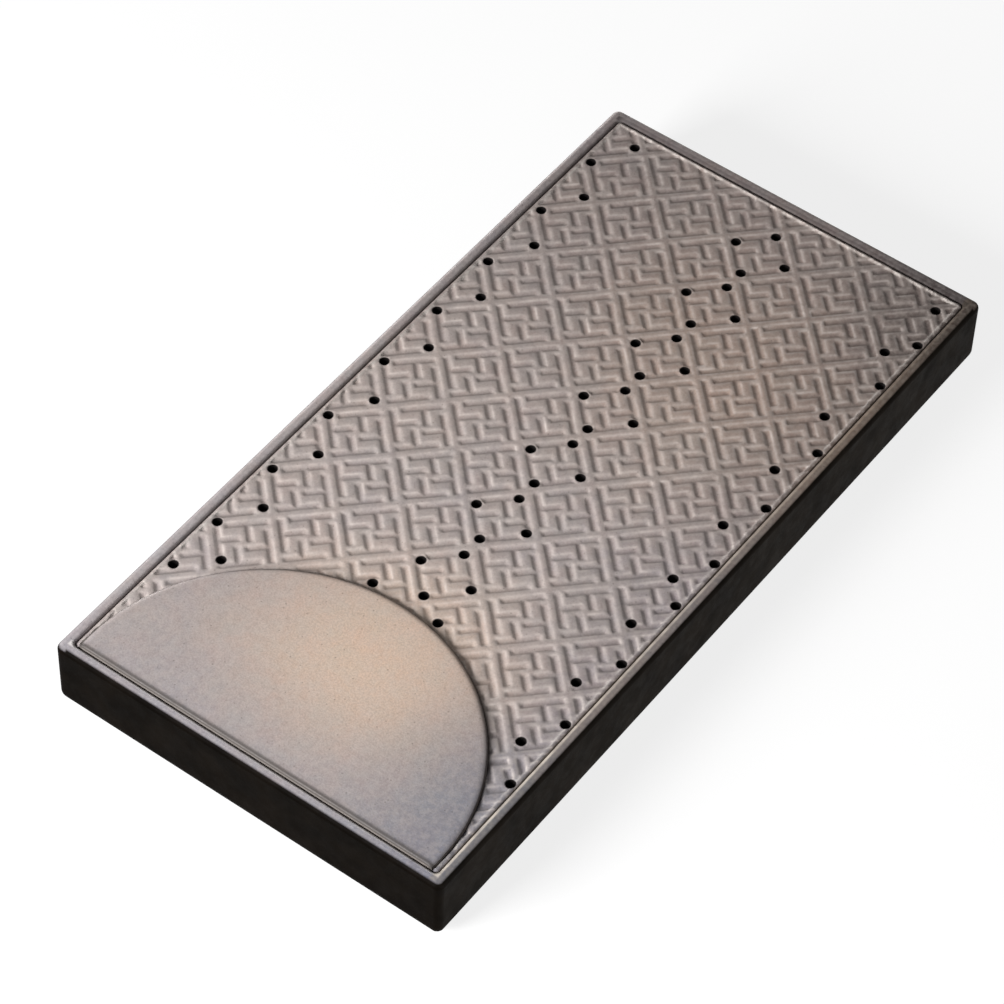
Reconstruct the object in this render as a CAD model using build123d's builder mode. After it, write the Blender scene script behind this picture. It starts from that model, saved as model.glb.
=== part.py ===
from build123d import *
from math import floor, hypot, sqrt
import os

# Outer sizes of the tray, in millimetres
tray_length = 287.0
tray_width = 144.0
base_height = 26.0
corner_radius = 2.4
bottom_round = 4.5

# Walls and rim of the base
rim_width = 4.0
rim_outer_round = 2.0
rim_inner_round = 1.2
opening_corner_radius = 1.6
floor_thickness = 4.0

# Reservoir inside the base
ledge_width = 4.0
reservoir_corner_radius = 3.0
floor_round = 1.5
post_diameter = 9.0
post_taper_angle = 4.0
post_spacing_x = 94.0
post_spacing_y = 68.0

# Pads under the base
pad_diameter = 14.0
pad_stand = 1.0
pad_seat_depth = 0.6
pad_clearance = 0.2
pad_inset = 17.0
pad_edge_round = 0.4

# Drain plate lying in the base
plate_clearance = 0.4
plate_thickness = 5.0
plate_edge_round = 0.8
rim_rise = 0.6

# Raised half disc at the -X end of the plate
platform_radius = 66.0
platform_rise = 1.6
platform_centre_inset = 4.7
platform_edge_round = 1.2

# Key fret cut into the plate, one motif to each square tile standing on its corner
cell_diagonal = 28.0
groove_depth = 0.6
pattern_shift_x_share = 0.20
pattern_shift_y_share = -0.13
groove_width_share = 0.10
bar_offset_share = 0.388
bar_lead_share = 0.24
bar_trail_share = 0.425
stem_offset_share = 0.11
stem_end_share = 0.04

# Drain holes, with places as shares of the tile diagonal from the middle of the tray
hole_diameter = 3.2
rosette_left_share = 0.375
rosette_right_share = 0.345
rosette_side_share = 0.34
rosette_drop_share = 0.015
far_outer_y_share = 2.29
far_outer_x_shares = (-3.48, -2.73, -1.77, -0.78, 0.24, 1.22, 2.19, 3.22, 4.21)
far_inner_y_share = 2.02
far_inner_x_shares = (-2.27, -1.30, -0.29, 0.71, 1.69, 2.72, 3.70, 4.72)
near_inner_y_share = -2.10
near_inner_x_shares = (-3.10, -2.12, -1.12, -0.34, 0.61, 1.61, 2.60, 3.82)
near_outer_y_share = -2.34
near_outer_x_shares = (-3.61, -2.64, -1.63, -0.63, 0.10, 1.09, 2.10, 3.36, 4.13)
single_hole_shares = ((-3.12, 1.92), (-2.38, -0.46), (-2.37, 0.43), (4.71, -2.21))

# Levels above the surface that the tray stands on
rim_top = pad_stand + base_height
floor_level = pad_stand + floor_thickness
land_level = rim_top - rim_rise
plate_underside = land_level - plate_thickness
groove_floor = land_level - groove_depth

# Sizes that follow from the ones above
opening_length = tray_length - 2 * rim_width
opening_width = tray_width - 2 * rim_width
reservoir_length = opening_length - 2 * ledge_width
plate_length = opening_length - 2 * plate_clearance
plate_width = opening_width - 2 * plate_clearance
plate_corner_radius = opening_corner_radius - plate_clearance
platform_x = platform_centre_inset - plate_length / 2
tile_side = cell_diagonal / sqrt(2)
pattern_x = pattern_shift_x_share * cell_diagonal
pattern_y = pattern_shift_y_share * cell_diagonal
pad_places = [
    (side_x * (tray_length / 2 - pad_inset), side_y * (tray_width / 2 - pad_inset))
    for side_x in (-1, 1)
    for side_y in (-1, 1)
]


# One T of the fret: an outer bar along its tile side and a stem towards the tile's middle
def fret_outline():
    half_stroke = groove_width_share / 2
    bar_out = bar_offset_share + half_stroke
    bar_in = bar_offset_share - half_stroke
    stem_left = stem_offset_share - half_stroke
    stem_right = stem_offset_share + half_stroke
    shares = (
        (-bar_lead_share, bar_out),
        (-bar_lead_share, bar_in),
        (stem_left, bar_in),
        (stem_left, stem_end_share),
        (stem_right, stem_end_share),
        (stem_right, bar_in),
        (bar_trail_share, bar_in),
        (bar_trail_share, bar_out),
    )
    return [(across * tile_side, up * tile_side) for across, up in shares]


# Middles of the tiles that show on the plate, in two interleaved square sets
def tile_centres():
    reach_x = plate_length / 2 + cell_diagonal / 2
    reach_y = plate_width / 2 + cell_diagonal / 2
    columns = floor(reach_x / cell_diagonal) + 1
    rows = floor(reach_y / cell_diagonal) + 1
    places = []
    for shift in (0, 1 / 2):
        for column in range(-columns, columns + 1):
            for row in range(-rows, rows + 1):
                x = pattern_x + (column + shift) * cell_diagonal
                y = pattern_y + (row + shift) * cell_diagonal
                hidden = hypot(x - platform_x, y) < platform_radius - cell_diagonal / 2
                if abs(x) < reach_x and abs(y) < reach_y and not hidden:
                    places.append((x, y))
    return places


# Four drain holes round the middle of each tile of the middle row, clear of the half disc
def rosette_holes():
    left = -rosette_left_share * cell_diagonal
    right = rosette_right_share * cell_diagonal
    side = rosette_side_share * cell_diagonal
    drop = rosette_drop_share * cell_diagonal
    first_x = platform_x + platform_radius + hole_diameter - left
    last_x = plate_length / 2 - hole_diameter - right
    places = []
    columns = floor(plate_length / 2 / cell_diagonal) + 1
    for column in range(-columns, columns + 1):
        x = pattern_x + column * cell_diagonal
        if first_x <= x <= last_x:
            places += [(x + left, pattern_y + drop), (x + right, pattern_y + drop)]
            places += [(x, pattern_y + side), (x, pattern_y - side)]
    return places


# Drain holes along both long edges and beside the half disc, where the plate has room for them
def edge_holes():
    rows = (
        (far_outer_x_shares, far_outer_y_share),
        (far_inner_x_shares, far_inner_y_share),
        (near_inner_x_shares, near_inner_y_share),
        (near_outer_x_shares, near_outer_y_share),
    )
    shares = [(x_share, y_share) for x_shares, y_share in rows for x_share in x_shares]
    shares += single_hole_shares
    places = [(x_share * cell_diagonal, y_share * cell_diagonal) for x_share, y_share in shares]
    room_x = (plate_length - hole_diameter) / 2
    room_y = (plate_width - hole_diameter) / 2
    near_disc = platform_radius + hole_diameter / 2
    on_plate = [(x, y) for x, y in places if abs(x) < room_x and abs(y) < room_y]
    return [(x, y) for x, y in on_plate if hypot(x - platform_x, y) > near_disc]


# Base: a rimmed box that stores the waste water, open at the top, with pockets for the pads
with BuildPart() as reservoir_base:
    with BuildSketch(Plane.XY.offset(pad_stand)):
        Rectangle(tray_length, tray_width)
    extrude(amount=base_height)
    fillet(reservoir_base.faces().sort_by(Axis.Z)[0].edges(), bottom_round)
    # Corners, upright and then in under the rounded bottom edges
    corner_edges = reservoir_base.edges().filter_by(Axis.Z)
    corner_edges += reservoir_base.edges().filter_by(GeomType.ELLIPSE)
    fillet(corner_edges, corner_radius)
    fillet(reservoir_base.faces().sort_by(Axis.Z)[-1].edges(), rim_outer_round)
    # Seat for the plate
    with BuildSketch(Plane.XY.offset(plate_underside)):
        RectangleRounded(opening_length, opening_width, opening_corner_radius)
    extrude(amount=rim_top - plate_underside, mode=Mode.SUBTRACT)
    # Hollow for the water, shorter than the seat so that both ends leave a ledge
    with BuildSketch(Plane.XY.offset(floor_level)):
        RectangleRounded(reservoir_length, opening_width, reservoir_corner_radius)
    extrude(amount=plate_underside - floor_level, mode=Mode.SUBTRACT)
    floor_face = reservoir_base.faces().filter_by_position(Axis.Z, floor_level, floor_level)
    fillet(floor_face.edges(), floor_round)
    top_face = reservoir_base.faces().sort_by(Axis.Z)[-1]
    fillet(top_face.inner_wires().edges(), rim_inner_round)
    # Posts that carry the middle of the plate
    with BuildSketch(Plane.XY.offset(floor_level)):
        with GridLocations(post_spacing_x, post_spacing_y, 2, 2):
            Circle(post_diameter / 2)
    extrude(amount=plate_underside - floor_level, taper=post_taper_angle)
    # Pockets for the pads
    with BuildSketch(Plane.XY.offset(pad_stand)):
        with Locations(*pad_places):
            Circle(pad_diameter / 2 + pad_clearance)
    extrude(amount=pad_seat_depth, mode=Mode.SUBTRACT)

# Plate: lies on the ledges and posts, and lifts straight out of the base
with BuildPart() as drain_plate:
    with BuildSketch(Plane.XY.offset(plate_underside)):
        RectangleRounded(plate_length, plate_width, plate_corner_radius)
    extrude(amount=plate_thickness)
    fillet(drain_plate.faces().sort_by(Axis.Z)[-1].edges(), plate_edge_round)
    # Half disc
    with BuildSketch(Plane.XY.offset(plate_underside)):
        with Locations((platform_x, 0)):
            Circle(platform_radius)
        RectangleRounded(plate_length, plate_width, plate_corner_radius, mode=Mode.INTERSECT)
    extrude(amount=plate_thickness + platform_rise)
    fillet(drain_plate.faces().sort_by(Axis.Z)[-1].edges(), platform_edge_round)
    # Drain holes
    with Locations(*[(x, y, land_level) for x, y in rosette_holes() + edge_holes()]):
        Hole(hole_diameter / 2)
    # Fret grooves, four to a tile, ending at the foot of the half disc
    with BuildSketch(Plane.XY.offset(groove_floor)):
        turns = (45, 135, 225, 315)
        with Locations(*[Location((x, y, 0), (0, 0, turn)) for x, y in tile_centres() for turn in turns]):
            Polygon(*fret_outline(), align=None)
        with Locations((platform_x, 0)):
            Circle(platform_radius, mode=Mode.SUBTRACT)
    extrude(amount=groove_depth + platform_rise, clean=False, mode=Mode.SUBTRACT)

# Pads that keep the glazed underside off the table
pad_names = ("pad_front_left", "pad_rear_left", "pad_front_right", "pad_rear_right")
pads = []
for pad_x, pad_y in pad_places:
    with BuildPart() as pad:
        with BuildSketch(Plane.XY):
            with Locations((pad_x, pad_y)):
                Circle(pad_diameter / 2)
        extrude(amount=pad_stand + pad_seat_depth)
        fillet(pad.faces().sort_by(Axis.Z)[0].edges(), pad_edge_round)
    pads.append(pad)

os.makedirs("parts", exist_ok=True)
reservoir_base.part.label = "reservoir_base"
export_step(reservoir_base.part, "parts/reservoir_base.step")
drain_plate.part.label = "drain_plate"
export_step(drain_plate.part, "parts/drain_plate.step")
for pad_name, pad in zip(pad_names, pads):
    pad.part.label = pad_name
    export_step(pad.part, f"parts/{pad_name}.step")
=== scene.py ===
import math

import bpy
import numpy as np
from mathutils import Matrix, Vector
from mathutils.geometry import delaunay_2d_cdt


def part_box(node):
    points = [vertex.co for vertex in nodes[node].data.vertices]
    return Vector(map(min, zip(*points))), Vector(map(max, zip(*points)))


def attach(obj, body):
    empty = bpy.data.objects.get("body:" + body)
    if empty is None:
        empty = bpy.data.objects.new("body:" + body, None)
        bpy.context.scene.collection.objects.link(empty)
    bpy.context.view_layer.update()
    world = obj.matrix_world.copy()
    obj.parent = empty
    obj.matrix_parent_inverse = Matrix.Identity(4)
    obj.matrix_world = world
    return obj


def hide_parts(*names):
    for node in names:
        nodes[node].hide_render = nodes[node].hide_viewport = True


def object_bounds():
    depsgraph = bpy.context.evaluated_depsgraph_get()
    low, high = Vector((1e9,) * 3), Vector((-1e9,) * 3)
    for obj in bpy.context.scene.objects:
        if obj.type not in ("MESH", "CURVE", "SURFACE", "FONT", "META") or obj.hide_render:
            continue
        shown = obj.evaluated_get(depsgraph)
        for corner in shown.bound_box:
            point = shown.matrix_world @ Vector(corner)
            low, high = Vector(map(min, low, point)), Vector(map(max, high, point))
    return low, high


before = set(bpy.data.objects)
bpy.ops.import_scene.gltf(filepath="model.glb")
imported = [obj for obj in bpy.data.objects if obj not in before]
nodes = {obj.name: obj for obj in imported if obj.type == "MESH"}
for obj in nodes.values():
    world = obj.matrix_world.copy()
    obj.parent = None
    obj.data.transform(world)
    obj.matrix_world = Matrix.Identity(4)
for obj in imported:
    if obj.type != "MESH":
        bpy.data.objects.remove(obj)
cad_low, cad_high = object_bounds()
MM = 0.001

# Levels and plan of the plate, taken from the frame
plate_low, plate_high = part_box("drain_plate")
HALF_LENGTH = plate_high.x
HALF_WIDTH = plate_high.y
UNDERSIDE = plate_low.z
PLATFORM_TOP = plate_high.z
PLATFORM_RISE = 1.6 * MM
LAND = PLATFORM_TOP - PLATFORM_RISE
CORNER_RADIUS = 1.2 * MM

# Raised half disc, with a fine crease sunk round its foot
DISC_X = 4.7 * MM - HALF_LENGTH
DISC_RADIUS = 66 * MM
DISC_WALL = 0.12 * MM
DISC_ROUND = 2.2 * MM
DISC_ROUND_DROP = 1.1 * MM
DISC_END_ROUND = 0.7 * MM
CREASE_WIDTH = 0.6 * MM
CREASE_DEPTH = 0.35 * MM

# Key fret, one motif to each square tile standing on its corner
CELL = 28 * MM
TILE = CELL / math.sqrt(2)
PATTERN_X = 0.20 * CELL
PATTERN_Y = -0.13 * CELL
GROOVE_DEPTH = 0.6 * MM
WALL_WIDTH = 1.1 * MM
SHOULDER_WIDTH = 4.6 * MM
SHOULDER_SHARE = 0.38
STROKE_SHARE = 0.085
BAR_SHARE = 0.388
BAR_LEAD_SHARE = 0.24
BAR_TRAIL_SHARE = 0.425
STEM_SHARE = 0.11
STEM_END_SHARE = 0.04

# Edges of the plate, with a thin raised lip that the fret runs into
EDGE_ROUND = 0.45 * MM
LIP_INSET = 1.0 * MM
LIP_WIDTH = 1.5 * MM
LIP_RISE = 0.25 * MM
BOTTOM_CHAMFER = 0.12 * MM

# Hand-made unevenness of the fret's lines, the groove depth, the lip and both smooth surfaces
FRET_SWAY = 0.16 * MM
GROOVE_SWAY_SHARE = 0.1
LIP_SWAY_SHARE = 0.3
LAND_SWAY = 0.05 * MM
DISC_SWAY = 0.04 * MM

# Drain holes, with places as shares of the tile diagonal from the middle of the tray
HOLE_RADIUS = 1.6 * MM
HOLE_SOFT = 0.30 * MM
HOLE_SINK = 0.15 * MM
HOLE_FILL_SHARE = 0.8
HOLE_FILL_WIDTH = 1.1 * MM
ROSETTE_LEFT_SHARE = 0.375
ROSETTE_RIGHT_SHARE = 0.345
ROSETTE_SIDE_SHARE = 0.34
ROSETTE_DROP_SHARE = 0.015
EDGE_ROWS = (
    (2.29, (-3.48, -2.73, -1.77, -0.78, 0.24, 1.22, 2.19, 3.22, 4.21)),
    (2.02, (-2.27, -1.30, -0.29, 0.71, 1.69, 2.72, 3.70, 4.72)),
    (-2.10, (-3.10, -2.12, -1.12, -0.34, 0.61, 1.61, 2.60, 3.82)),
    (-2.34, (-3.61, -2.64, -1.63, -0.63, 0.10, 1.09, 2.10, 3.36, 4.13)),
)
SINGLE_HOLES = ((-3.12, 1.92), (-2.38, -0.46), (-2.37, 0.43), (4.71, -2.21))

# Spacing of the plate's mesh
OUTLINE_STEP = 0.8 * MM
ARC_STEP = 0.9 * MM
ARC_PAST_END = 1 * MM
DISC_STEP = 3 * MM
CLOSEST_LINES = 0.48 * MM
CORNER_POINTS = 7
SMALLEST_CORNER = 0.3 * MM
HOLE_POINTS = 24
GRID_MARGIN = 0.2 * MM
GRID_HOLE_MARGIN = 0.15 * MM
DISC_END_MARGIN = 0.3 * MM
EDGE_MARGIN = 0.05 * MM
RING_MARGIN = 0.1 * MM
RING_EDGE_MARGIN = 0.03 * MM
MERGE_DISTANCE = 1e-8
SLIVER_AREA = 1e-13
SHARP_DEGREES = 48

# A vertex nearer to a hole's middle than the first is on its edge, a triangle than the second across it
ON_HOLE_EDGE = 1.01 * HOLE_RADIUS
ACROSS_HOLE = 0.97 * HOLE_RADIUS

# Marks on the plate's vertices that its glaze, with its wear and painted light and shade, follows
LIP_MARK_IN = 0.25 * MM
LIP_MARK_WIDTH = 0.35 * MM
# Place and spread of the pale band on the groove shoulders, wear with painted highlight
SHOULDER_MARK_DEPTH_SHARE = 0.24
SHOULDER_MARK_SPAN_SHARE = 0.14
CREASE_REACH_IN = 1.1 * MM
# Reach of the painted shade on the half disc's end at the plate's edge
PAINTED_END_SHADE_WIDTH = 1.6 * MM
PAINTED_END_SHADE_FULL_SHARE = 0.3


def hole_centres():
    """Middles of all the drain holes, as an array of x and y."""
    left, right = -ROSETTE_LEFT_SHARE * CELL, ROSETTE_RIGHT_SHARE * CELL
    side, drop = ROSETTE_SIDE_SHARE * CELL, ROSETTE_DROP_SHARE * CELL
    first = DISC_X + DISC_RADIUS + 2 * HOLE_RADIUS - left
    last = HALF_LENGTH - 2 * HOLE_RADIUS - right
    columns = int(HALF_LENGTH / CELL) + 1
    places = []
    for column in range(-columns, columns + 1):
        x = PATTERN_X + column * CELL
        if first <= x <= last:
            places += [(x + left, PATTERN_Y + drop), (x + right, PATTERN_Y + drop)]
            places += [(x, PATTERN_Y + side), (x, PATTERN_Y - side)]
    for y_share, x_shares in EDGE_ROWS:
        places += [(x_share * CELL, y_share * CELL) for x_share in x_shares]
    places += [(x_share * CELL, y_share * CELL) for x_share, y_share in SINGLE_HOLES]
    return np.array(places)


HOLES = hole_centres()


def smooth(t):
    """Eases t from 0 to 1, level at both ends."""
    t = np.clip(t, 0, 1)
    return t * t * (3 - 2 * t)


def bell(value, middle, width):
    """1 where the value is at its middle, fading to 0 on both sides of it."""
    return np.exp(-(((value - middle) / width) ** 2))


def sway(x, y, length, seed):
    """A gentle unevenness between -1 and 1, about length long, as hand-finished clay has."""
    a, b = x * math.tau / length, y * math.tau / length
    waves = np.sin(a + 1.7 * seed + 0.8 * np.sin(1.3 * b + seed))
    waves = waves + np.sin(1.31 * b + 2.3 * seed + 0.9 * np.sin(0.9 * a - seed))
    waves = waves + np.sin(0.73 * a - 0.81 * b + 3.1 * seed)
    return waves / 3


def nearest_hole(x, y):
    """Distance from each point to the middle of the nearest drain hole."""
    gap = np.full(np.shape(x), np.inf)
    for hx, hy in HOLES:
        gap = np.minimum(gap, np.hypot(x - hx, y - hy))
    return gap


def from_disc_middle(x, y):
    """Distance from each point to the middle of the half disc's circle."""
    return np.hypot(x - DISC_X, y)


def inside_edge(x, y, inset=0.0):
    """Distance from the plate's outline, or from one drawn in by inset, positive inside."""
    radius = CORNER_RADIUS
    qx = np.abs(x) - (HALF_LENGTH - inset - radius)
    qy = np.abs(y) - (HALF_WIDTH - inset - radius)
    outside = np.hypot(np.maximum(qx, 0), np.maximum(qy, 0))
    return radius - outside - np.minimum(np.maximum(qx, qy), 0)


def box_gap(across, up, low_across, high_across, low_up, high_up):
    """Distance to a rectangle, negative inside it."""
    qx = np.abs(across - (low_across + high_across) / 2) - (high_across - low_across) / 2
    qy = np.abs(up - (low_up + high_up) / 2) - (high_up - low_up) / 2
    return np.hypot(np.maximum(qx, 0), np.maximum(qy, 0)) + np.minimum(np.maximum(qx, qy), 0)


def fret(x, y):
    """How far each point lies down a groove of the fret, from 0 on the land to 1 on its floor."""
    x = x + FRET_SWAY * sway(x, y, length=23 * MM, seed=1)
    y = y + FRET_SWAY * sway(x, y, length=19 * MM, seed=2)
    u = ((x - PATTERN_X) + (y - PATTERN_Y)) / math.sqrt(2) / TILE
    v = ((y - PATTERN_Y) - (x - PATTERN_X)) / math.sqrt(2) / TILE
    across, up = u - np.round(u), v - np.round(v)
    half = STROKE_SHARE / 2
    bar = (-BAR_LEAD_SHARE, BAR_TRAIL_SHARE, BAR_SHARE - half, BAR_SHARE + half)
    stem = (STEM_SHARE - half, STEM_SHARE + half, STEM_END_SHARE, BAR_SHARE)
    gap = np.full(np.shape(x), np.inf)
    for _ in range(4):
        gap = np.minimum(gap, box_gap(across, up, *bar))
        gap = np.minimum(gap, box_gap(across, up, *stem))
        across, up = up, -across
    wall = smooth(0.5 - gap * TILE / WALL_WIDTH)
    shoulder = smooth(0.5 - gap * TILE / SHOULDER_WIDTH)
    return (1 - SHOULDER_SHARE) * wall + SHOULDER_SHARE * shoulder


def rounded(gap, width, drop):
    """How far an edge rounded over width has dropped at gap inside it."""
    t = np.clip(1 - gap / width, 0, 1)
    return drop * (1 - np.sqrt(1 - t * t))


def land_height(x, y):
    """Height of the patterned surface, without the half disc."""
    from_edge = inside_edge(x, y)
    from_hole = nearest_hole(x, y) - HOLE_RADIUS
    groove = GROOVE_DEPTH * (1 + GROOVE_SWAY_SHARE * sway(x, y, length=41 * MM, seed=3)) * fret(x, y)
    groove = groove * smooth((from_edge - LIP_INSET) / (LIP_WIDTH / 2))
    groove = groove * (1 - HOLE_FILL_SHARE * smooth(1 - from_hole / HOLE_FILL_WIDTH))
    uneven = 1 + LIP_SWAY_SHARE * sway(x, y, length=5 * MM, seed=6)
    lip = LIP_RISE * uneven * smooth(1 - np.abs(from_edge - LIP_INSET) / (LIP_WIDTH / 2))
    edge = rounded(from_edge, EDGE_ROUND, EDGE_ROUND)
    away = from_disc_middle(x, y) - DISC_RADIUS
    crease = CREASE_DEPTH * smooth(1 - away / CREASE_WIDTH)
    sunk = (groove**4 + edge**4) ** 0.25 + crease
    return LAND + lip - sunk + LAND_SWAY * (sway(x, y, length=37 * MM, seed=4) - 1)


def disc_height(x, y):
    """Height of the half disc's smooth top and rounded edge."""
    into = DISC_RADIUS - DISC_WALL - from_disc_middle(x, y)
    edge = rounded(into, DISC_ROUND, DISC_ROUND_DROP)
    end = rounded(inside_edge(x, y), DISC_END_ROUND, DISC_END_ROUND)
    sunk = (edge**3 + end**3) ** (1 / 3)
    return PLATFORM_TOP - sunk + DISC_SWAY * (sway(x, y, length=60 * MM, seed=5) - 1)


def plate_height(x, y):
    """Height of the plate's top, with the half disc's wall between its foot and its rounded edge."""
    into = (DISC_RADIUS - from_disc_middle(x, y)) / DISC_WALL
    share = np.clip(into, 0, 1)
    height = (1 - share) * land_height(x, y) + share * disc_height(x, y)
    return height - HOLE_SINK * (nearest_hole(x, y) < ON_HOLE_EDGE)


def circle(cx, cy, radius, angles):
    """Points of a circle at the given angles."""
    return np.stack([cx + radius * np.cos(angles), cy + radius * np.sin(angles)], 1)


def outline(inset):
    """Points round the plate's outline, drawn in by inset."""
    radius = max(CORNER_RADIUS - inset, SMALLEST_CORNER)
    half_x, half_y = HALF_LENGTH - inset - radius, HALF_WIDTH - inset - radius
    middles = ((half_x, half_y), (-half_x, half_y), (-half_x, -half_y), (half_x, -half_y))
    corners = []
    for turn, (cx, cy) in enumerate(middles):
        angles = np.radians(90 * turn + np.linspace(0, 90, CORNER_POINTS))
        corners.append(circle(cx, cy, radius, angles))
    points = []
    for turn, corner in enumerate(corners):
        start, end = corner[-1], corners[(turn + 1) % 4][0]
        count = int(np.hypot(*(end - start)) / OUTLINE_STEP)
        shares = np.arange(1, count)[:, None] / count
        points += [corner, start + (end - start) * shares]
    return np.concatenate(points)


def hole_rings(radius):
    """Points round the drain holes, one array for each hole."""
    angles = np.arange(HOLE_POINTS) * math.tau / HOLE_POINTS
    return [circle(hx, hy, radius, angles) for hx, hy in HOLES]


def arc(radius):
    """Points along a circle round the half disc's middle, as far as it lies over the plate."""
    reach = math.acos((-HALF_LENGTH - ARC_PAST_END - DISC_X) / radius)
    count = int(2 * reach * radius / ARC_STEP)
    return circle(DISC_X, 0, radius, np.linspace(-reach, reach, count + 1))


def tile_lines():
    """Places of the mesh lines across one tile: on both flanks and the middle of each groove wall."""
    half = STROKE_SHARE / 2
    flank = WALL_WIDTH / TILE / 2
    walls = [STEM_END_SHARE, STEM_SHARE - half, STEM_SHARE + half, BAR_LEAD_SHARE]
    walls += [BAR_SHARE - half, BAR_TRAIL_SHARE, BAR_SHARE + half]
    wanted = sorted([0.0, 0.5] + [wall + side for wall in walls for side in (-flank, 0, flank)])
    closest = CLOSEST_LINES / TILE
    lines = [0.0]
    for place in wanted:
        if place - lines[-1] >= closest and 0.5 - place >= closest:
            lines.append(place)
    lines.append(0.5)
    return np.array([-place for place in lines[:0:-1]] + lines[:-1])


def fret_grid():
    """Points of a grid along the tiles' own sides, finer across the groove walls."""
    reach = int((HALF_LENGTH + HALF_WIDTH) / TILE) + 2
    lines = (np.arange(-reach, reach + 1)[:, None] + tile_lines()).ravel() * TILE
    u, v = np.meshgrid(lines, lines)
    x = PATTERN_X + (u - v).ravel() / math.sqrt(2)
    y = PATTERN_Y + (u + v).ravel() / math.sqrt(2)
    near_edge = inside_edge(x, y) < LIP_INSET + LIP_WIDTH / 2 + GRID_MARGIN
    near_disc = from_disc_middle(x, y) < DISC_RADIUS + CREASE_WIDTH + GRID_MARGIN
    near_hole = nearest_hole(x, y) < HOLE_RADIUS + HOLE_SOFT + GRID_HOLE_MARGIN
    keep = ~(near_edge | near_disc | near_hole)
    return np.stack([x[keep], y[keep]], 1)


def disc_grid():
    """Points over the half disc inside its rounded edge."""
    along = np.arange(-HALF_LENGTH, 0, DISC_STEP)
    x, y = np.meshgrid(along, np.arange(-HALF_WIDTH, HALF_WIDTH, DISC_STEP))
    x, y = x.ravel(), y.ravel()
    inside = DISC_RADIUS - from_disc_middle(x, y) > DISC_ROUND + DISC_STEP / 2
    keep = inside & (inside_edge(x, y) > DISC_END_ROUND + DISC_END_MARGIN)
    return np.stack([x[keep], y[keep]], 1)


def loose_points():
    """Points of the plate's top that lie on no kept edge: grids, lines along edges and hole rings."""
    disc_edge = DISC_RADIUS - DISC_WALL
    points = [fret_grid(), disc_grid()]
    points += [outline(share * LIP_INSET) for share in (0.1, 0.3, 0.6, 1.0)]
    points += [outline(LIP_INSET + share * LIP_WIDTH) for share in (0.17, 0.33, 0.5)]
    points += [arc(disc_edge - share * DISC_ROUND) for share in (0.12, 0.3, 0.55, 0.8, 1.05)]
    points += [arc(DISC_RADIUS + share * CREASE_WIDTH) for share in (0.5, 1.0)]
    points = np.concatenate(points)
    keep = inside_edge(*points.T) > EDGE_MARGIN
    keep &= nearest_hole(*points.T) > HOLE_RADIUS + HOLE_SOFT + RING_MARGIN
    rings = np.concatenate(hole_rings(HOLE_RADIUS + HOLE_SOFT))
    on_plate = inside_edge(*rings.T) > RING_EDGE_MARGIN
    return np.concatenate([points[keep], rings[on_plate]])


def top_points():
    """All the points of the plate's top, and the edges that its triangles must keep."""
    closed = [outline(0)] + hole_rings(HOLE_RADIUS)
    opened = [arc(DISC_RADIUS), arc(DISC_RADIUS - DISC_WALL)]
    points, edges = [loose_points()], []
    start = len(points[0])
    for lines, is_closed in ((closed, True), (opened, False)):
        for line in lines:
            last = start + len(line) - 1
            edges += [(point, point + 1) for point in range(start, last)]
            if is_closed:
                edges.append((last, start))
            points.append(line)
            start = last + 1
    return np.concatenate(points), edges


def triangulate(points, edges, inset=0.0):
    """Triangles over the points that keep the edges, on the plate drawn in by inset, off its holes."""
    flat = [Vector((float(x), float(y))) for x, y in points]
    made = delaunay_2d_cdt(flat, edges, [], 0, MERGE_DISTANCE)
    xy = np.array([tuple(v) for v in made[0]])
    corners = np.array(made[2])
    x, y = xy[corners].mean(1).T
    corners = corners[(inside_edge(x, y, inset) > 0) & (nearest_hole(x, y) > ACROSS_HOLE)]
    a, b, c = (xy[corners[:, i]] for i in range(3))
    turn = (b - a)[:, 0] * (c - a)[:, 1] - (b - a)[:, 1] * (c - a)[:, 0]
    return xy, corners[np.abs(turn) > SLIVER_AREA]


def rim_edges(corners):
    """The edges that only one triangle has, in that triangle's direction."""
    ways = np.concatenate([corners[:, [0, 1]], corners[:, [1, 2]], corners[:, [2, 0]]])
    size = corners.max() + 1
    forward = ways[:, 0] * size + ways[:, 1]
    back = ways[:, 1] * size + ways[:, 0]
    return ways[~np.isin(forward, back)]


def chamfered(rim):
    """Points of the top's rim, drawn in by the bottom chamfer unless they belong to a hole."""
    beyond = np.abs(rim) - (np.array([HALF_LENGTH, HALF_WIDTH]) - CORNER_RADIUS)
    inward = -np.maximum(beyond, 0) * np.sign(rim)
    inward /= np.maximum(np.linalg.norm(inward, axis=1), 1e-9)[:, None]
    at_hole = nearest_hole(*rim.T) < ON_HOLE_EDGE
    return rim + np.where(at_hole[:, None], 0, inward * BOTTOM_CHAMFER)


def plate_mesh():
    """Vertices and faces of the closed plate, and how many of the vertices are its top's."""
    xy, top = triangulate(*top_points())
    rim = rim_edges(top)
    loop = np.unique(rim)
    place = np.full(len(xy), -1)
    place[loop] = np.arange(len(loop))
    low = chamfered(xy[loop])
    surface = np.column_stack([xy, plate_height(*xy.T)])
    above = np.column_stack([xy[loop], np.full(len(loop), UNDERSIDE + BOTTOM_CHAMFER)])
    below = np.column_stack([low, np.full(len(loop), UNDERSIDE)])
    a, b = rim.T
    upper_a, upper_b = len(xy) + place[a], len(xy) + place[b]
    lower_a, lower_b = upper_a + len(loop), upper_b + len(loop)
    wall = np.stack([b, a, upper_a, upper_b], 1)
    chamfer = np.stack([upper_b, upper_a, lower_a, lower_b], 1)
    flat, bottom = triangulate(low, [tuple(pair) for pair in place[rim].tolist()], BOTTOM_CHAMFER)
    nearest = np.array([np.argmin(np.hypot(*(low - point).T)) for point in flat])
    bottom = len(xy) + len(loop) + nearest[bottom][:, ::-1]
    faces = top.tolist() + wall.tolist() + chamfer.tolist() + bottom.tolist()
    return np.concatenate([surface, above, below]), faces, len(xy)


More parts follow.
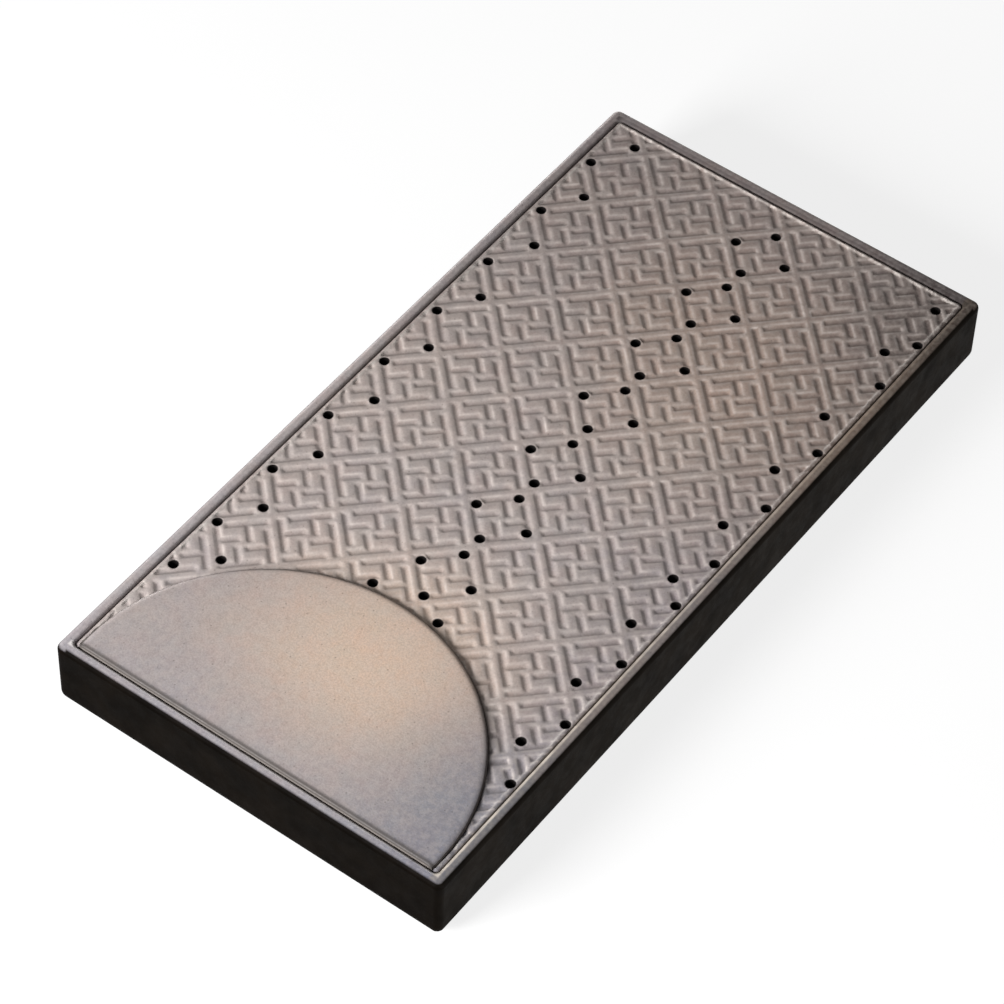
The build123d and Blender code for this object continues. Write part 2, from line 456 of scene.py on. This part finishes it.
def new_object(name, vertices, faces, body):
    """A smooth mesh object from arrays, riding on a body."""
    mesh = bpy.data.meshes.new(name)
    mesh.from_pydata([tuple(v) for v in vertices], [], [tuple(f) for f in faces])
    mesh.polygons.foreach_set("use_smooth", np.ones(len(mesh.polygons), bool))
    mesh.update()
    made = bpy.data.objects.new(name, mesh)
    bpy.context.scene.collection.objects.link(made)
    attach(made, body)
    return made


def sharpen(made, degrees):
    """Marks the edges of a mesh that turn by more than an angle as sharp."""
    mesh = made.data
    normals = np.zeros(len(mesh.polygons) * 3)
    mesh.polygons.foreach_get("normal", normals)
    normals = normals.reshape(-1, 3)
    loop_edges = np.zeros(len(mesh.loops), int)
    mesh.loops.foreach_get("edge_index", loop_edges)
    sizes = np.zeros(len(mesh.polygons), int)
    mesh.polygons.foreach_get("loop_total", sizes)
    loop_faces = np.repeat(np.arange(len(sizes)), sizes)
    order = np.argsort(loop_edges, kind="stable")
    edge, face = loop_edges[order], loop_faces[order]
    pair = np.nonzero(edge[1:] == edge[:-1])[0]
    turn = (normals[face[pair]] * normals[face[pair + 1]]).sum(1)
    sharp = np.zeros(len(mesh.edges), bool)
    sharp[edge[pair]] = turn < math.cos(math.radians(degrees))
    layer = mesh.attributes.new("sharp_edge", "BOOLEAN", "EDGE")
    layer.data.foreach_set("value", sharp)


def paint(made, name, values):
    """Keeps one number for each vertex of a mesh, for its material."""
    layer = made.data.attributes.new(name, "FLOAT", "POINT")
    layer.data.foreach_set("value", np.asarray(values, np.float32))


def mark_plate(made, x, y, on_top):
    """Marks where the lip, grooves, groove shoulders, crease, half disc's end and holes are, for wear
    and painted light and shade.
    """
    away = from_disc_middle(x, y) - DISC_RADIUS
    on_land = on_top & (away > -DISC_WALL / 2)
    on_disc = on_top & ~on_land
    from_edge, sunk = inside_edge(x, y), fret(x, y)
    crease_reach = np.where(away < 0, CREASE_REACH_IN, CREASE_WIDTH)
    paint(made, "lip", bell(from_edge, LIP_INSET + LIP_MARK_IN, LIP_MARK_WIDTH) * on_land)
    paint(made, "hollow", sunk * on_land)
    paint(made, "wear_and_painted_highlight", bell(sunk, SHOULDER_MARK_DEPTH_SHARE, SHOULDER_MARK_SPAN_SHARE) * on_land)
    paint(made, "crease", smooth(1 - np.abs(away) / crease_reach) * on_top)
    paint(made, "painted_end_shade", smooth(1 + PAINTED_END_SHADE_FULL_SHARE - from_edge / PAINTED_END_SHADE_WIDTH) * on_disc)
    paint(made, "hole", nearest_hole(x, y) < ON_HOLE_EDGE)


def drain_plate():
    """The plate as one closed mesh: patterned top, half disc, holes, sides and underside."""
    vertices, faces, top_count = plate_mesh()
    made = new_object("glazed_drain_plate", vertices, faces, "plate")
    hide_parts("drain_plate")
    sharpen(made, SHARP_DEGREES)
    on_top = np.arange(len(vertices)) < top_count
    mark_plate(made, vertices[:, 0], vertices[:, 1], on_top)
    return made


class Shader:
    """Builds one node material, from short calls."""

    MIX_COLOR_A, MIX_COLOR_B, MIX_RESULT = 6, 7, 2

    def __init__(self, name):
        self.material = bpy.data.materials.new(name)
        self.material.use_nodes = True
        self.tree = self.material.node_tree
        self.bsdf = self.tree.nodes["Principled BSDF"]
        self.place = self.node("ShaderNodeTexCoord").outputs["Object"]

    def node(self, kind, **settings):
        made = self.tree.nodes.new(kind)
        for key, value in settings.items():
            setattr(made, key, value)
        return made

    def feed(self, socket, value):
        """Gives a socket a link from another node, a colour or a number."""
        if isinstance(value, bpy.types.NodeSocket):
            self.tree.links.new(value, socket)
        elif isinstance(value, tuple) and len(value) == 3 and socket.type == "RGBA":
            socket.default_value = (*value, 1)
        else:
            socket.default_value = value

    def noise(self, size, detail=3.0, roughness=0.5, low=0.0, high=1.0):
        """Noise with features about size long, spread from low to high."""
        made = self.node("ShaderNodeTexNoise")
        self.feed(made.inputs["Vector"], self.place)
        self.feed(made.inputs["Scale"], 1 / size)
        self.feed(made.inputs["Detail"], detail)
        self.feed(made.inputs["Roughness"], roughness)
        return self.spread(made.outputs["Fac"], 0.3, 0.7, low, high)

    def spots(self, size, share):
        """Round spots at random places, about size across, 1 at their middles."""
        made = self.node("ShaderNodeTexVoronoi")
        self.feed(made.inputs["Vector"], self.place)
        self.feed(made.inputs["Scale"], 1 / size)
        return self.spread(made.outputs["Distance"], 0.0, share, 1.0, 0.0)

    def spread(self, value, from_low, from_high, low=0.0, high=1.0):
        """A number that eases from low to high while the value goes over its own range."""
        made = self.node("ShaderNodeMapRange", clamp=True, interpolation_type="SMOOTHSTEP")
        for socket, number in zip(made.inputs[:5], (value, from_low, from_high, low, high)):
            self.feed(socket, number)
        return made.outputs["Result"]

    def math(self, operation, a, b=0.0):
        made = self.node("ShaderNodeMath", operation=operation)
        self.feed(made.inputs[0], a)
        self.feed(made.inputs[1], b)
        return made.outputs[0]

    def times(self, first, *others):
        for other in others:
            first = self.math("MULTIPLY", first, other)
        return first

    def most(self, first, *others):
        for other in others:
            first = self.math("MAXIMUM", first, other)
        return first

    def mix(self, share, a, b, blend="MIX"):
        made = self.node("ShaderNodeMix", data_type="RGBA", blend_type=blend)
        self.feed(made.inputs["Factor"], share)
        self.feed(made.inputs[self.MIX_COLOR_A], a)
        self.feed(made.inputs[self.MIX_COLOR_B], b)
        return made.outputs[self.MIX_RESULT]

    def dyed(self, color, factors):
        """A colour with each channel multiplied by its own factor."""
        return self.mix(1.0, color, factors, "MULTIPLY")

    def dye(self, share, color, factors):
        """A colour multiplied by factors as far as the share says."""
        return self.mix(share, color, self.dyed(color, factors))

    def value(self, name):
        """A number kept on the mesh's vertices."""
        return self.node("ShaderNodeAttribute", attribute_name=name).outputs["Fac"]

    def patch(self, middle, radius):
        """A soft round patch, 1 at its middle."""
        away = self.node("ShaderNodeVectorMath", operation="DISTANCE")
        self.feed(away.inputs[0], self.place)
        self.feed(away.inputs[1], middle)
        return self.spread(away.outputs["Value"], 0.0, radius, 1.0, 0.0)

    def axis(self, name):
        """One coordinate of the place on the object."""
        made = self.node("ShaderNodeSeparateXYZ")
        self.feed(made.inputs[0], self.place)
        return made.outputs[name]

    def upward(self):
        """1 on surfaces that face up, 0 on upright ones."""
        geometry = self.node("ShaderNodeNewGeometry")
        made = self.node("ShaderNodeSeparateXYZ")
        self.feed(made.inputs[0], geometry.outputs["Normal"])
        return made.outputs["Z"]

    def outward(self):
        """How far the place lies outside the opening that the plate lies in, along X or Y."""
        beyond = []
        for name, half in (("X", HALF_LENGTH), ("Y", HALF_WIDTH)):
            away = self.math("ABSOLUTE", self.axis(name))
            beyond.append(self.math("SUBTRACT", away, half + PLATE_CLEARANCE))
        return self.most(*beyond)

    def bump(self, height, distance, strength, normal=None):
        made = self.node("ShaderNodeBump")
        self.feed(made.inputs["Height"], height)
        self.feed(made.inputs["Distance"], distance)
        self.feed(made.inputs["Strength"], strength)
        if normal:
            self.feed(made.inputs["Normal"], normal)
        return made.outputs["Normal"]

    def finish(self, color, roughness, normal, **settings):
        """The finished material; the settings are the Principled shader's other inputs."""
        self.feed(self.bsdf.inputs["Base Color"], color)
        self.feed(self.bsdf.inputs["Roughness"], roughness)
        self.feed(self.bsdf.inputs["Normal"], normal)
        for key, value in settings.items():
            self.feed(self.bsdf.inputs[key.replace("_", " ")], value)
        return self.material


# Rim of the base, measured outwards from the opening that the plate lies in
PLATE_CLEARANCE = 0.4 * MM
RIM_MIDDLE = 1.6 * MM
RIM_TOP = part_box("reservoir_base")[1].z

# Colours of the glaze on the plate and the rim, and of the painted light and shade on them
DRIFT_COOL = (0.375, 0.328, 0.326)
DRIFT_WARM = (0.402, 0.340, 0.322)
PAINTED_LEFT_END_SHEEN = (0.290, 0.280, 0.315)
FINE_SPECKLE = (0.15, 0.13, 0.12)
MOTTLE = (0.62, 0.55, 0.50)
SPECKS = (0.07, 0.06, 0.055)
PAINTED_GROOVE_SHADE = (0.10, 0.085, 0.08)
SHOULDER_WEAR_AND_PAINTED_HIGHLIGHT = (0.72, 0.645, 0.60)
PAINTED_LIP_HIGHLIGHT = (0.66, 0.62, 0.58)
PAINTED_RIM_LIGHT = (0.80, 0.76, 0.74)
PAINTED_CREASE_SHADE = (0.03, 0.026, 0.024)
PAINTED_LIGHT_PLATE_WALL = (0.22, 0.195, 0.18)
PAINTED_DISC_END_SHADE = (0.05, 0.044, 0.04)
PAINTED_HOLE_SHADE = (0.006, 0.005, 0.005)

# Colours of the base's upright sides and of the pads
SIDE_DARK = (0.0035, 0.0027, 0.0020)
SIDE_LIGHT = (0.0085, 0.0066, 0.0050)
PAD_DARK = (0.030, 0.030, 0.031)
PAD_LIGHT = (0.055, 0.054, 0.054)

# Factors that shift a colour, and the SHADE factors, which darken it as painted shade
PAINTED_NEAR_LEFT_SHADE = (0.66, 0.68, 0.75)
PAINTED_NEAR_RIGHT_SHADE = (0.69, 0.65, 0.62)
PAINTED_CORNER_SHADE = (0.40, 0.41, 0.43)
PAINTED_RIGHT_END_SHADE = (0.65, 0.615, 0.60)
STAIN_SHIFT = (0.90, 1.0, 0.98)
BLUSH_SHIFT = (1.15, 0.95, 0.84)
RIM_SHIFT = (0.97, 1.01, 1.06)
PAINTED_RIM_SHADE = (0.36, 0.355, 0.36)
FRONT_RIM_SHIFT = (1.05, 0.99, 0.86)
PAINTED_END_WALL_SHADE = (0.38, 0.34, 0.30)

# Painted sheen and reflection patches on the glaze: middle, radius, share and colour
PAINTED_SHEEN_PATCHES = (
    ((-90 * MM, -7 * MM, LAND), 65 * MM, 0.9, (0.66, 0.50, 0.39)),
    ((70 * MM, -20 * MM, LAND), 78 * MM, 0.6, (0.45, 0.325, 0.25)),
    ((-118 * MM, -70 * MM, LAND), 55 * MM, 0.8, (0.29, 0.295, 0.325)),
)
# Middle and radius of the painted shade at the +X -Y corner
PAINTED_SHADE_CORNER = (145 * MM, -74 * MM, LAND)
PAINTED_SHADE_CORNER_RADIUS = 72 * MM


def drift_and_painted_light(shader):
    """The glaze's drifting colour, with warm and cool painted sheen patches and painted shade along the
    -Y side and the +X end.
    """
    x, y = shader.axis("X"), shader.axis("Y")
    color = shader.mix(shader.noise(45 * MM, 2.0, 0.5), DRIFT_COOL, DRIFT_WARM)
    # Painted sheen and reflections, as colour patches
    for middle, radius, share, sheen in PAINTED_SHEEN_PATCHES:
        patch = shader.times(shader.patch(middle, radius), share)
        color = shader.mix(patch, color, sheen)
    # Painted cool sheen towards the -X end
    color = shader.mix(shader.spread(x, -150 * MM, -100 * MM, 0.6, 0.0), color, PAINTED_LEFT_END_SHEEN)
    # Painted shade along the -Y side, cooler at its -X end
    near = shader.spread(y, -80 * MM, -20 * MM, 1.0, 0.0)
    painted_near_shade = shader.mix(shader.spread(x, -30 * MM, 80 * MM), PAINTED_NEAR_LEFT_SHADE, PAINTED_NEAR_RIGHT_SHADE)
    color = shader.dye(near, color, painted_near_shade)
    # Painted shade at the +X -Y corner
    color = shader.dye(shader.patch(PAINTED_SHADE_CORNER, PAINTED_SHADE_CORNER_RADIUS), color, PAINTED_CORNER_SHADE)
    # Painted shade, darker towards the +X end
    return shader.dye(shader.spread(x, -20 * MM, 145 * MM), color, PAINTED_RIGHT_END_SHADE)


def grain(shader, color):
    """Fine speckle and small drifting stains of the fired surface over a colour."""
    stain = shader.times(shader.noise(11 * MM, 3.0, 0.6), 0.30)
    color = shader.dye(stain, color, STAIN_SHIFT)
    blush = shader.times(shader.noise(7 * MM, 3.0, 0.6), 0.30)
    color = shader.dye(blush, color, BLUSH_SHIFT)
    fine = shader.times(shader.noise(0.7 * MM, 2.0, 0.7), 0.27)
    color = shader.mix(fine, color, FINE_SPECKLE)
    mottle = shader.times(shader.noise(1.7 * MM, 3.0, 0.6), 0.18)
    color = shader.mix(mottle, color, MOTTLE)
    specks = shader.times(shader.spots(2.6 * MM, 0.16), 0.5)
    return shader.mix(specks, color, SPECKS)


def plate_glaze():
    """Satin iron glaze of the plate, with painted highlight on its thin lip and painted shade in the
    grooves, the crease round the half disc and the holes.
    """
    shader = Shader("plate_glaze")
    up = shader.upward()
    color = grain(shader, drift_and_painted_light(shader))
    # Painted shade, darker down the grooves
    color = shader.mix(shader.times(shader.value("hollow"), 0.19), color, PAINTED_GROOVE_SHADE)
    # Pale groove shoulders: wear, with painted highlight along the groove edges
    wear_and_painted_highlight = shader.times(shader.value("wear_and_painted_highlight"), shader.noise(3.5 * MM, 2.0, 0.6, 0.25, 0.75))
    color = shader.mix(wear_and_painted_highlight, color, SHOULDER_WEAR_AND_PAINTED_HIGHLIGHT)
    # Painted highlight on the plate's thin lip, broken up by noise
    broken = shader.noise(2.4 * MM, 2.0, 0.6, 0.1, 1.4)
    color = shader.mix(shader.times(shader.value("lip"), broken, 0.45), color, PAINTED_LIP_HIGHLIGHT)
    # Painted shade in the crease round the half disc's foot
    color = shader.mix(shader.times(shader.value("crease"), 0.85), color, PAINTED_CREASE_SHADE)
    open_to_light = shader.spread(up, 0.15, 0.5)
    # Upright walls take a paler colour, painted light in the gap round the plate
    color = shader.mix(open_to_light, PAINTED_LIGHT_PLATE_WALL, color)
    # Painted shade on the half disc's rounded end at the plate's edge, kept off the upright wall
    painted_end_shade = shader.times(shader.value("painted_end_shade"), shader.spread(up, 0.04, 0.14, 0.0, 0.88))
    color = shader.mix(painted_end_shade, color, PAINTED_DISC_END_SHADE)
    # Painted shade down the drain holes
    color = shader.mix(shader.value("hole"), color, PAINTED_HOLE_SHADE)
    relief = shader.bump(shader.noise(0.7 * MM, 3.0, 0.6), 0.03 * MM, 0.6)
    relief = shader.bump(shader.noise(5 * MM, 2.0, 0.5), 0.06 * MM, 0.4, relief)
    roughness = shader.noise(4 * MM, 3.0, 0.6, 0.44, 0.58)
    metal = shader.times(open_to_light, 0.12)
    return shader.finish(color, roughness, relief, Metallic=metal, Specular_IOR_Level=0.10)


def rim_glaze(shader, color):
    """The rim's glaze: neutral, with painted light along the inner edges at -X and -Y and painted shade
    along the others.
    """
    color = shader.dyed(color, RIM_SHIFT)
    # A darker copy of the rim colour, for painted shade
    painted_rim_shade = shader.dyed(color, PAINTED_RIM_SHADE)
    x, y, z = (shader.axis(name) for name in "XYZ")
    inner_edge = shader.spread(shader.outward(), 0.7 * MM, 1.4 * MM, 1.0, 0.0)
    # Painted shade along the rim's inner edge at the +X end
    right = shader.spread(x, HALF_LENGTH - 1 * MM, HALF_LENGTH, 0.0, 0.9)
    color = shader.mix(shader.times(right, inner_edge), color, painted_rim_shade)
    # Painted light along the inner edges of the -X and -Y rims, fading along the -Y rim towards +X
    left = shader.spread(x, -HALF_LENGTH, -HALF_LENGTH + 1 * MM, 1.0, 0.0)
    front = shader.spread(y, -HALF_WIDTH, -HALF_WIDTH + 1 * MM, 1.0, 0.0)
    front_painted_light = shader.times(front, shader.spread(x, -120 * MM, 120 * MM, 1.0, 0.06))
    broken = shader.noise(4 * MM, 2.0, 0.6, 0.30, 0.70)
    near_top = shader.spread(z, RIM_TOP - 2.2 * MM, RIM_TOP - 1.2 * MM)
    pale = shader.times(shader.most(left, front_painted_light), inner_edge, broken, near_top)
    color = shader.mix(pale, color, PAINTED_RIM_LIGHT)
    color = shader.dye(front, color, FRONT_RIM_SHIFT)
    # Painted shade on the outer part of the -Y rim
    front_crown = shader.spread(y, -HALF_WIDTH - 2.1 * MM, -HALF_WIDTH - 1.3 * MM, 0.40, 0.0)
    color = shader.mix(front_crown, color, painted_rim_shade)
    # Painted shade on the outer part of the -X rim
    left_crown = shader.spread(x, -HALF_LENGTH - 3.6 * MM, -HALF_LENGTH - 2.2 * MM, 0.85, 0.0)
    return shader.mix(left_crown, color, painted_rim_shade)


def base_glaze():
    """The base's glaze: glossy on the rim, which is paler partly as painted sheen, near black on the
    upright sides, with painted shade on the -X end wall.
    """
    shader = Shader("base_glaze")
    x, y, up = shader.axis("X"), shader.axis("Y"), shader.upward()
    # Painted light keeps the paler colour further down the outer rounding on the far +X and +Y sides
    far_sides_painted_light = shader.most(
        shader.spread(x, HALF_LENGTH, HALF_LENGTH + 1 * MM),
        shader.spread(y, HALF_WIDTH, HALF_WIDTH + 1 * MM),
    )
    # Glossy, paler colour on upward faces and inside the rim, near black on the upright sides; the paler
    # tops are partly painted sheen
    gloss_and_painted_sheen = shader.most(
        shader.spread(up, 0.80, 0.99),
        shader.times(far_sides_painted_light, shader.spread(up, 0.5, 0.9)),
        shader.spread(shader.outward(), RIM_MIDDLE - 0.3 * MM, RIM_MIDDLE + 0.1 * MM, 0.8, 0.0),
    )
    dark = shader.mix(shader.noise(14 * MM, 4.0, 0.6), SIDE_DARK, SIDE_LIGHT)
    # Painted shade on the -X end wall, which faces the key lamp
    end_wall = shader.spread(x, cad_low.x, cad_low.x + 2 * MM, 1.0, 0.0)
    dark = shader.dye(end_wall, dark, PAINTED_END_WALL_SHADE)
    color = shader.mix(gloss_and_painted_sheen, dark, rim_glaze(shader, grain(shader, drift_and_painted_light(shader))))
    relief = shader.bump(shader.noise(0.8 * MM, 3.0, 0.6), 0.03 * MM, 0.6)
    relief = shader.bump(shader.noise(9 * MM, 2.0, 0.5), 0.10 * MM, 0.4, relief)
    roughness = shader.noise(5 * MM, 3.0, 0.6, 0.44, 0.58)
    metal = shader.times(gloss_and_painted_sheen, 0.12)
    return shader.finish(color, roughness, relief, Metallic=metal, Specular_IOR_Level=0.010)


def pad_rubber():
    """Matte moulded silicone."""
    shader = Shader("pad_rubber")
    color = shader.mix(shader.noise(2 * MM, 3.0), PAD_DARK, PAD_LIGHT)
    relief = shader.bump(shader.noise(0.35 * MM, 2.0), 0.02 * MM, 0.5)
    return shader.finish(color, shader.noise(1.5 * MM, 2.0, 0.5, 0.6, 0.8), relief)


def dress(made, material):
    """Gives an object one material, in every slot that it has."""
    if not made.data.materials:
        made.data.materials.append(material)
    for index in range(len(made.data.materials)):
        made.data.materials[index] = material


# Camera at the photograph's viewing angle, with angles in degrees and lens and sensor in millimetres
CAMERA_AIM = Vector((-17.1 * MM, 0.1 * MM, LAND))
CAMERA_DISTANCE = 1.2825
CAMERA_BEARING = 35.13
CAMERA_DROP = 50.07
CAMERA_ROLL = 2.03
CAMERA_LENS = 150.0
CAMERA_SENSOR = 36
CAMERA_NEAREST = 0.05
CAMERA_FARTHEST = 50

# Floor and sky
FLOOR_HALF_SIZE = 4.0
FLOOR_BELOW = 0.02 * MM
FLOOR_TONE = 0.22
FLOOR_GLOW = 0.82
SKY_LIGHT = 0.10
SKY_SEEN = 1.0

# The two weak lamps at floor level, below the rim, which light the upright sides alone
LOW_LAMP_HEIGHT = 10 * MM
LOW_LAMP_SIZE = (0.50, 0.014)


def camera():
    """The camera, looking along the tray from above its -X -Y corner."""
    bearing, drop = math.radians(CAMERA_BEARING), math.radians(CAMERA_DROP)
    level = math.cos(drop)
    ahead = Vector((math.cos(bearing) * level, math.sin(bearing) * level, -math.sin(drop)))
    data = bpy.data.cameras.new("camera")
    data.lens = CAMERA_LENS
    data.sensor_width = CAMERA_SENSOR
    data.clip_start, data.clip_end = CAMERA_NEAREST, CAMERA_FARTHEST
    made = bpy.data.objects.new("camera", data)
    bpy.context.scene.collection.objects.link(made)
    roll = Matrix.Rotation(math.radians(CAMERA_ROLL), 3, "Z")
    turned = ahead.to_track_quat("-Z", "Y").to_matrix() @ roll
    made.matrix_world = Matrix.Translation(CAMERA_AIM - ahead * CAMERA_DISTANCE) @ turned.to_4x4()
    bpy.context.scene.camera = made


def lamp(name, place, aim, size, power):
    """A soft rectangular lamp that the camera doesn't see; its size is its width and height."""
    data = bpy.data.lights.new(name, "AREA")
    data.shape = "RECTANGLE"
    data.size, data.size_y = size
    data.energy = power
    made = bpy.data.objects.new(name, data)
    made.location = place
    made.rotation_mode = "QUATERNION"
    made.rotation_quaternion = (Vector(aim) - Vector(place)).to_track_quat("-Z", "Y")
    made.visible_camera = False
    bpy.context.scene.collection.objects.link(made)


def wired(tree, kind, *sources):
    """A new node with its inputs linked, in their order, to other nodes' outputs."""
    made = tree.nodes.new(kind)
    for socket, source in zip(made.inputs, sources):
        tree.links.new(source, socket)
    return made


def seen_rays(tree):
    """1 for the rays by which the camera, a gloss or a clear surface sees something, else 0."""
    path = wired(tree, "ShaderNodeLightPath")
    total = path.outputs["Is Camera Ray"]
    for kind in ("Is Glossy Ray", "Is Transmission Ray"):
        larger = wired(tree, "ShaderNodeMath", total, path.outputs[kind])
        larger.operation = "MAXIMUM"
        total = larger.outputs[0]
    return total


def floor_material():
    """Pale and seen as white apart from the shadow on it from above, clear from below."""
    material = bpy.data.materials.new("floor")
    material.use_nodes = True
    tree = material.node_tree
    tree.nodes.clear()
    dull = wired(tree, "ShaderNodeBsdfDiffuse")
    dull.inputs["Color"].default_value = (FLOOR_TONE, FLOOR_TONE, FLOOR_TONE, 1)
    glow = wired(tree, "ShaderNodeEmission")
    glow.inputs["Strength"].default_value = FLOOR_GLOW
    white = wired(tree, "ShaderNodeAddShader", dull.outputs[0], glow.outputs[0])
    above = wired(tree, "ShaderNodeMixShader", seen_rays(tree), dull.outputs[0], white.outputs[0])
    from_below = wired(tree, "ShaderNodeNewGeometry").outputs["Backfacing"]
    clear = wired(tree, "ShaderNodeBsdfTransparent")
    sided = wired(tree, "ShaderNodeMixShader", from_below, above.outputs[0], clear.outputs[0])
    wired(tree, "ShaderNodeOutputMaterial", sided.outputs[0])
    return material


def floor():
    """The floor, a little below the pads so that it never shows through them."""
    mesh = bpy.data.meshes.new("floor")
    size = FLOOR_HALF_SIZE
    corners = [(x * size, y * size, -FLOOR_BELOW) for x, y in ((-1, -1), (1, -1), (1, 1), (-1, 1))]
    mesh.from_pydata(corners, [], [(0, 1, 2, 3)])
    made = bpy.data.objects.new("floor", mesh)
    bpy.context.scene.collection.objects.link(made)
    mesh.materials.append(floor_material())


def sky():
    """Even soft light from all round, white where it is seen."""
    world = bpy.data.worlds.new("sky")
    bpy.context.scene.world = world
    world.use_nodes = True
    tree = world.node_tree
    strength = wired(tree, "ShaderNodeMapRange", seen_rays(tree))
    strength.inputs["To Min"].default_value = SKY_LIGHT
    strength.inputs["To Max"].default_value = SKY_SEEN
    back = tree.nodes["Background"]
    tree.links.new(strength.outputs["Result"], back.inputs["Strength"])
    back.inputs["Color"].default_value = (1, 1, 1, 1)


plate = drain_plate()
dress(plate, plate_glaze())
dress(nodes["reservoir_base"], base_glaze())
rubber = pad_rubber()
for name, node in nodes.items():
    if name.startswith("pad_"):
        dress(node, rubber)

camera()
floor()
sky()
lamp("key", (-0.90, 0.27, 0.42), aim=(-0.02, 0, LAND), size=(0.44, 0.44), power=21.8)
for name, x, y, power in (("low_back", 0.45, 0.48, 4.0), ("low_front", -0.05, -0.62, 3.0)):
    lamp(name, (x, y, LOW_LAMP_HEIGHT), (0, 0, LOW_LAMP_HEIGHT), LOW_LAMP_SIZE, power)

bpy.context.scene.view_settings.view_transform = "Standard"
